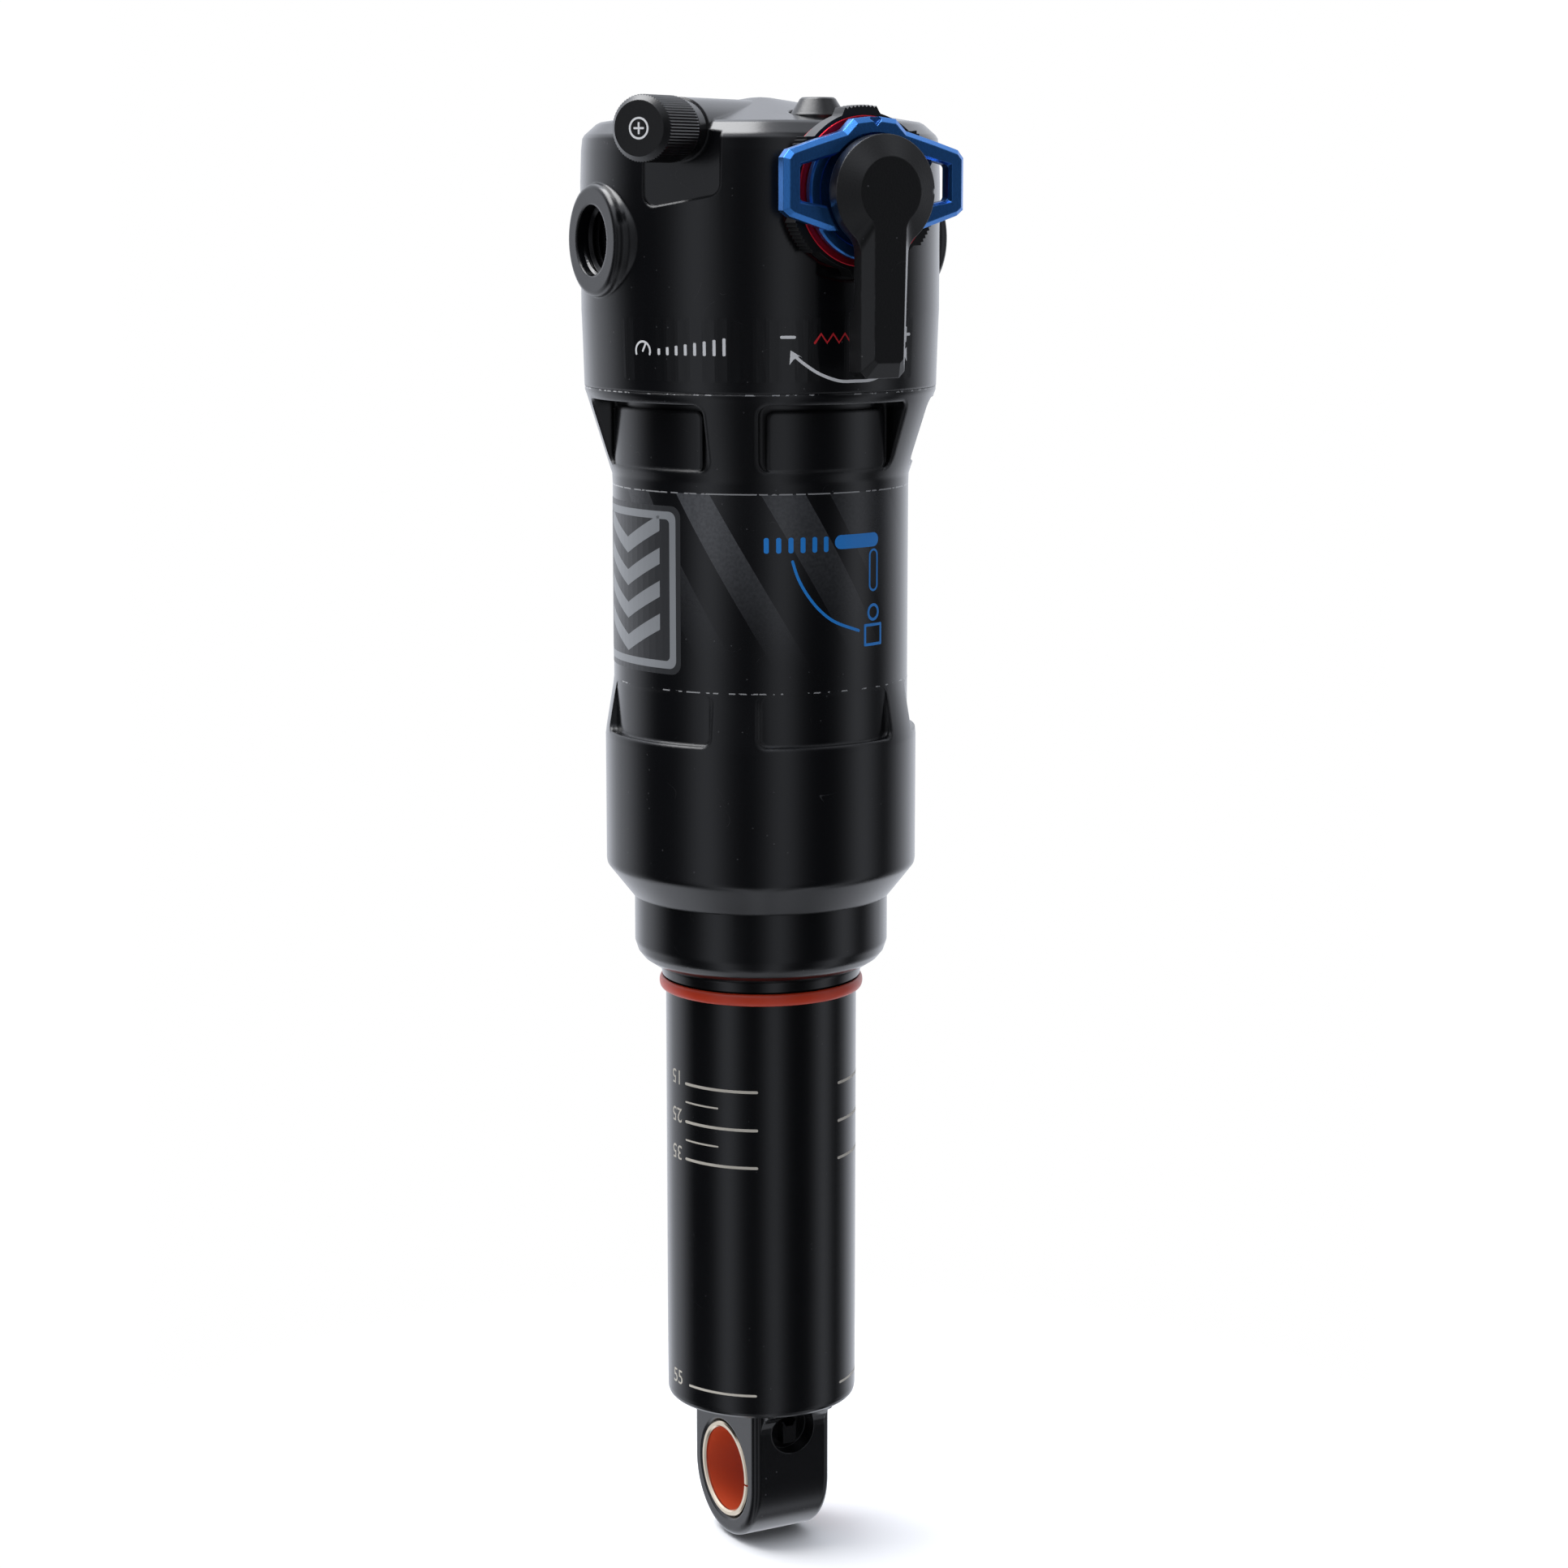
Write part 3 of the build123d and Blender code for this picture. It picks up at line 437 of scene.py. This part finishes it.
def stroke(points, width, steps=5):
    """Outline of a line of the given width, with round ends."""
    half = width / 2.0
    left, right, headings = [], [], []
    for i in range(len(points)):
        ax, ay = points[max(i - 1, 0)]
        bx, by = points[min(i + 1, len(points) - 1)]
        length = hypot(bx - ax, by - ay)
        dx, dy = (bx - ax) / length, (by - ay) / length
        headings.append((dx, dy))
        x, y = points[i]
        left.append((x - dy * half, y + dx * half))
        right.append((x + dy * half, y - dx * half))
    outline = list(left)
    outline += cap(points[-1], headings[-1], half, steps)
    outline += reversed(right)
    start = headings[0]
    outline += cap(points[0], (-start[0], -start[1]), half, steps)
    return outline


def cap(centre, heading, half, steps):
    """Round end of a stroke, from its left side to its right."""
    points = []
    for i in range(1, steps):
        turn = pi / 2 - pi * i / steps
        dx = heading[0] * cos(turn) - heading[1] * sin(turn)
        dy = heading[1] * cos(turn) + heading[0] * sin(turn)
        points.append((centre[0] + half * dx, centre[1] + half * dy))
    return points


def flat_mesh(outlines=(), text=None, size=2.0, turn=0.0):
    """Flat filled shape in millimetres, from outlines or from plain numerals."""
    if text:
        curve = bpy.data.curves.new("flat", "FONT")
        curve.body = text
        curve.size = size
        curve.align_x = "LEFT"
        curve.align_y = "CENTER"
    else:
        curve = bpy.data.curves.new("flat", "CURVE")
        curve.dimensions = "2D"
        curve.fill_mode = "BOTH"
        for outline in outlines:
            spline = curve.splines.new("POLY")
            spline.points.add(len(outline) - 1)
            for point, (x, y) in zip(spline.points, outline):
                point.co = (x, y, 0.0, 1.0)
            spline.use_cyclic_u = True
    holder = bpy.data.objects.new("flat", curve)
    bpy.context.scene.collection.objects.link(holder)
    bpy.context.view_layer.update()
    depsgraph = bpy.context.evaluated_depsgraph_get()
    mesh = bpy.data.meshes.new_from_object(holder.evaluated_get(depsgraph))
    bpy.data.objects.remove(holder)
    bpy.data.curves.remove(curve)
    if turn:
        for vertex in mesh.vertices:
            x, y = vertex.co.x, vertex.co.y
            vertex.co.x = x * cos(turn) - y * sin(turn)
            vertex.co.y = x * sin(turn) + y * cos(turn)
    return mesh


TREES = {}


def tree_of(node):
    if node not in TREES:
        mesh = NODES[node].data
        points = [vertex.co for vertex in mesh.vertices]
        TREES[node] = BVHTree.FromPolygons(points, [polygon.vertices for polygon in mesh.polygons])
    return TREES[node]


def finish_shell(name, bm, body, material):
    """Turns the bmesh into a piece with clean outward faces, riding on a body."""
    bmesh.ops.recalc_face_normals(bm, faces=bm.faces)
    mesh = bpy.data.meshes.new(name)
    bm.to_mesh(mesh)
    bm.free()
    mesh.materials.append(MATERIALS[material])
    piece = bpy.data.objects.new(name, mesh)
    bpy.context.scene.collection.objects.link(piece)
    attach(piece, body)


WRAP_STEP = 0.45      # a print is cut this often around the shock, in millimetres
RAY_START = 0.05      # rays start this far from the axis, in metres


def wrapped(name, shapes, node, body, material, radius, lift=0.02, sink=0.02):
    """A print on a round surface.

    Each shape is (flat mesh, bearing in degrees, height in mm): its x runs around the shock and its y
    up. Every point is dropped onto the node's surface, and the shell goes a little below it.
    """
    bm = bmesh.new()
    for flat, bearing, height in shapes:
        part = bmesh.new()
        part.from_mesh(flat)
        bmesh.ops.remove_doubles(part, verts=part.verts, dist=1e-4)
        xs = [v.co.x for v in part.verts]
        cut = min(xs) + WRAP_STEP
        while cut < max(xs):
            everything = list(part.verts) + list(part.edges) + list(part.faces)
            bmesh.ops.bisect_plane(part, geom=everything, plane_co=(cut, 0, 0), plane_no=(1, 0, 0))
            cut += WRAP_STEP
        bmesh.ops.triangulate(part, faces=part.faces)
        outer = list(part.verts)
        extruded = bmesh.ops.extrude_face_region(part, geom=part.faces[:])
        inner = [e for e in extruded["geom"] if isinstance(e, bmesh.types.BMVert)]
        for verts, offset in ((outer, -sink), (inner, lift)):
            for vert in verts:
                angle = radians(bearing) + vert.co.x / radius
                z = (height + vert.co.y) * MM
                out = Vector((cos(angle), sin(angle), 0.0))
                start = out * RAY_START + Vector((0, 0, z))
                hit = tree_of(node).ray_cast(start, -out)[0]
                reach = hypot(hit.x, hit.y) if hit else radius * MM
                vert.co = out * (reach + offset * MM) + Vector((0, 0, z))
        copy = bpy.data.meshes.new("part")
        part.to_mesh(copy)
        part.free()
        bm.from_mesh(copy)
        bpy.data.meshes.remove(copy)
    finish_shell(name, bm, body, material)


def arc(cx, cy, r, start, end, steps=16):
    """Points along an arc, in degrees."""
    angles = [radians(start + (end - start) * i / steps) for i in range(steps + 1)]
    return [(cx + r * cos(angle), cy + r * sin(angle)) for angle in angles]


def smooth(points, steps=5):
    """Points of a Catmull-Rom curve through the given points."""
    result = []
    for i in range(len(points) - 1):
        before, here, after = points[max(i - 1, 0)], points[i], points[i + 1]
        beyond = points[min(i + 2, len(points) - 1)]
        for k in range(steps):
            result.append(tuple(between(k / steps, *axis) for axis in zip(before, here, after, beyond)))
    result.append(points[-1])
    return result


def between(t, a, b, c, d):
    """The Catmull-Rom value at t between b and c."""
    cubic = 3 * b - a - 3 * c + d
    return 0.5 * (2 * b + (c - a) * t + (2 * a - 5 * b + 4 * c - d) * t * t + cubic * t ** 3)


def on_surface(points, bearing, height, radius, way=1):
    """Bearings and heights as flat millimetres about a middle; way -1 mirrors them."""
    return [(way * radians(angle - bearing) * radius, z - height) for angle, z in points]


def line(length, width, start=0.0):
    """A straight level line as a flat mesh."""
    return flat_mesh([stroke([(start, 0), (start + length, 0)], width)])


# The travel scale: heights of its lines, and the bearing at which each of its two groups starts.
STANCHION_R = 14.2
SAG_LONG = (61.87, 56.1, 50.4)
SAG_SHORT = (59.1, 53.3)
SAG_FULL = 15.45
SAG_STARTS = (-169.7, -64.6)
NUMERAL_SIZE = 3.1


def sag_scale():
    """Travel scale on the stanchion: lines, upside-down numerals, and the full-stroke line and its 55."""
    for side, start in enumerate(SAG_STARTS):
        shapes = [(line(12.1, 0.42), start, z) for z in SAG_LONG]
        shapes.append((line(11.3, 0.36, start=0.6), start, SAG_FULL))
        if side == 0:
            shapes += [(line(6.1, 0.26), start, z) for z in SAG_SHORT]
            for label, z in zip(("15", "25", "35"), SAG_LONG):
                shapes.append((flat_mesh(text=label, size=NUMERAL_SIZE, turn=pi), start - 4.0, z + 0.7))
            shapes.append((flat_mesh(text="55", size=NUMERAL_SIZE), start - 17.0, SAG_FULL + 0.45))
        wrapped("sag_scale_%d" % side, shapes, "stanchion", "damper_body", "laser_grey",
                STANCHION_R, lift=0.012)


FILM_R = 21.55
BADGE_BEARING = 180.0
BADGE_HALF_ANGLE = 30.1
BADGE_LOW = 124.0
BADGE_HIGH = 148.0
CHEVRON_HALF_WIDTH = 7.6
CHEVRON_RISE = 3.7
CHEVRON_THICKNESS = 2.3
CHEVRON_PITCH = 4.7


def badge():
    """Plain grey badge on the film: a frame and four chevrons."""
    half = FILM_R * radians(BADGE_HALF_ANGLE)
    middle = (BADGE_LOW + BADGE_HIGH) / 2.0
    top = BADGE_HIGH - middle
    border = flat_mesh([rounded(-half, -top, half, top, 1.6)])
    wrapped("badge_back", [(border, BADGE_BEARING, middle)], "outer_air_can", "head_and_can",
            "badge_dark", FILM_R, lift=0.03)
    frame_lines = [rounded(-half + inset, -top + inset, half - inset, top - inset, r)
                   for inset, r in ((0.8, 1.2), (1.9, 0.7))]
    shapes = [(flat_mesh(frame_lines), BADGE_BEARING, middle)]
    for k in range(4):
        tip = -9.4 + CHEVRON_PITCH * k
        wing = tip + CHEVRON_RISE
        low_side = [(-CHEVRON_HALF_WIDTH, wing), (0.0, tip), (CHEVRON_HALF_WIDTH, wing)]
        high_side = [(x, y + CHEVRON_THICKNESS) for x, y in reversed(low_side)]
        shapes.append((flat_mesh([low_side + high_side]), BADGE_BEARING, middle))
    wrapped("badge_front", shapes, "outer_air_can", "head_and_can", "badge_grey", FILM_R,
            lift=0.045, sink=0.0)


# The lever diagram's arc, as bearings and heights, and the bearing of the column of signs on its right.
SWING = ((-106.2, 140.5), (-103.9, 138.0), (-100.0, 135.5), (-94.9, 133.3), (-88.4, 131.6), (-77.9, 130.2))
SIGN_COLUMN = -70.0


def lever_diagram():
    """Blue diagram of the lever's swing: a filled bar, an outlined bar, the arc between, and end signs."""
    shapes = [(flat_mesh([rounded(-4.1, -1.0, 4.1, 1.0, 0.99)]), -78.2, 143.0)]
    hanging = [rounded(-0.95, -3.0, 0.95, 3.1, 0.94), rounded(-0.65, -2.7, 0.65, 2.8, 0.64)]
    square = [rounded(-1.9, -1.6, 1.9, 1.6, 0.2), rounded(-1.5, -1.2, 1.5, 1.2, 0.1)]
    circle = [ring(0, 0, 1.25), ring(0, 0, 0.85)]
    for outlines, height in ((hanging, 138.6), (square, 129.4), (circle, 132.6)):
        shapes.append((flat_mesh(outlines), SIGN_COLUMN, height))
    swing = on_surface(SWING, -90.0, 135.0, FILM_R)
    shapes.append((flat_mesh([stroke(smooth(swing), 0.42)]), -90.0, 135.0))
    for k in range(6):
        x = -4.4 + 1.75 * k
        shapes.append((flat_mesh([rounded(x - 0.36, -1.1, x + 0.36, 1.1, 0.3)]), -104.4, 142.8))
    wrapped("lever_diagram", shapes, "outer_air_can", "head_and_can", "print_blue", FILM_R)


HEAD_R = 25.72
GAUGE_BEARING = -157.8
TICKS_BEARING = -151.5
TICKS_PITCH = 3.15
ARROW_BEARING = -87.0
ARROW_HEIGHT = 168.0
ARROW_SHAFT = ((0.0, 165.8), (-6.0, 165.9), (-12.5, 166.9), (-17.5, 168.3), (-20.3, 169.3))
ARROW_HEAD = ((-21.9, 170.2), (-22.2, 168.2), (-21.0, 168.9), (-19.2, 169.4), (-18.2, 169.2))
MINUS_BEARING = -109.7
PLUS_BEARING = -65.8
SIGN_HEIGHT = 172.0


def head_label():
    """Clear label on the head with plain symbols: a gauge with a tick scale, a curved arrow, - and +."""
    node, body, slot = "trunnion_head", "head_and_can", "head_black"
    half = radians(52.3) * HEAD_R
    film = flat_mesh([rounded(-half, -4.45, half, 4.45, 0.6)])
    wrapped("label_film", [(film, -114.3, 170.2)], node, body, "film_clear", HEAD_R, lift=0.03)
    dial = stroke(arc(0, -0.7, 1.3, 200, -20), 0.3)
    needle = stroke([(0, -0.7), (0.55, 0.35)], 0.3)
    white = [(flat_mesh([outline]), GAUGE_BEARING, 170.6) for outline in (dial, needle)]
    for k in range(8):
        tick = rounded(-0.22, -1.1, 0.22, -0.2 + 0.22 * k, 0.15)
        white.append((flat_mesh([tick]), TICKS_BEARING + TICKS_PITCH * k, 170.5))
    for bearing in (MINUS_BEARING, PLUS_BEARING):
        white.append((line(1.8, 0.42, start=-0.9), bearing, SIGN_HEIGHT))
    for low, high in ((0.2, 0.9), (-0.9, -0.2)):
        white.append((flat_mesh([stroke([(0, low), (0, high)], 0.42)]), PLUS_BEARING, SIGN_HEIGHT))
    for way in (1, -1):
        shaft = smooth(on_surface(ARROW_SHAFT, 0.0, ARROW_HEIGHT, HEAD_R, way))
        head = on_surface(ARROW_HEAD, 0.0, ARROW_HEIGHT, HEAD_R, way)
        for outline in (stroke(shaft, 0.42), head):
            white.append((flat_mesh([outline]), ARROW_BEARING, ARROW_HEIGHT))
    wrapped("label_signs", white, node, body, "print_white", HEAD_R, lift=0.05, sink=0.0)
    coil = [(0.9 * k, 0.62 if k % 2 else -0.62) for k in range(14)]
    red = [(flat_mesh([stroke(coil, 0.34)]), -101.2, 171.8)]
    wrapped("label_coil", red, node, body, "print_red", HEAD_R, lift=0.05, sink=0.0)


CAP_BEARING = radians(-145.0)
CAP_Z = 200.2
CAP_SIGN_LIFT = 0.03


def cap_sign():
    """A plain plus in a ring on the dust cap's front."""
    out = Vector((cos(CAP_BEARING), sin(CAP_BEARING), 0.0))
    right = Vector((-out.y, out.x, 0.0))
    front = max(vertex.co.dot(out) for vertex in NODES["valve_cap"].data.vertices)
    outlines = [ring(0, 0, 1.5, 40), ring(0, 0, 1.22, 40), rounded(-0.8, -0.14, 0.8, 0.14, 0.1),
                rounded(-0.14, 0.14, 0.14, 0.8, 0.05), rounded(-0.14, -0.8, 0.14, -0.14, 0.05)]
    bm = bmesh.new()
    bm.from_mesh(flat_mesh(outlines))
    bmesh.ops.remove_doubles(bm, verts=bm.verts, dist=1e-4)
    outer = list(bm.verts)
    extruded = bmesh.ops.extrude_face_region(bm, geom=bm.faces[:])
    inner = [e for e in extruded["geom"] if isinstance(e, bmesh.types.BMVert)]
    for verts, offset in ((outer, -CAP_SIGN_LIFT), (inner, CAP_SIGN_LIFT)):
        for vert in verts:
            flat_x, flat_y = vert.co.x * MM, vert.co.y * MM
            vert.co = out * (front + offset * MM) + right * flat_x + Vector((0, 0, CAP_Z * MM + flat_y))
    finish_shell("cap_sign", bm, "dust_cap", "print_white")


TRUNNION_Z = 185.0
THREAD_ROOT = 5.03
THREAD_DEPTH = 0.58
THREAD_PITCH = 1.0
THREAD_IN = 14.6
THREAD_OUT = 26.0
THREAD_STEPS = 72         # sections in one turn
THREAD_FADE = 24.0        # sections over which the ridge rises from nothing at each end
THREAD_LEAST = 0.05       # share of its height that the ridge starts with
RIDGE_HALF = 0.44         # half the ridge's width at its root, as a share of the pitch
CREST_HALF = 0.07


def thread(name, side):
    """Helical ridge of the trunnion's thread, standing in its bore."""
    bm = bmesh.new()
    total = int((THREAD_OUT - THREAD_IN) / THREAD_PITCH) * THREAD_STEPS
    rows = []
    for i in range(total + 1):
        angle = 2 * pi * i / THREAD_STEPS
        along = THREAD_IN + THREAD_PITCH * i / THREAD_STEPS
        fade = min(1.0, i / THREAD_FADE, (total - i) / THREAD_FADE)
        crest = THREAD_ROOT - THREAD_DEPTH * max(fade, THREAD_LEAST)
        profile = ((THREAD_ROOT, -RIDGE_HALF), (crest, -CREST_HALF), (crest, CREST_HALF),
                   (THREAD_ROOT, RIDGE_HALF))
        row = []
        for radius, shift in profile:
            x = side * (along + shift * THREAD_PITCH)
            height = TRUNNION_Z + radius * sin(angle)
            row.append(bm.verts.new((x * MM, radius * cos(angle) * MM, height * MM)))
        rows.append(row)
    for a, b in zip(rows, rows[1:]):
        for k in range(4):
            n = (k + 1) % 4
            bm.faces.new((a[k], a[n], b[n], b[k]))
    bm.faces.new(rows[0])
    bm.faces.new(reversed(rows[-1]))
    finish_shell(name, bm, "head_and_can", "thread_black")


sag_scale()
badge()
lever_diagram()
head_label()
cap_sign()
thread("trunnion_thread_left", -1)
thread("trunnion_thread_right", 1)

make_camera()
make_world()
make_floor()
area_light("overhead", (-0.24, 0.16, 0.85), (0, 0, 0.15), (0.6, 0.6), 9.0)

bpy.context.scene.view_settings.view_transform = "Standard"
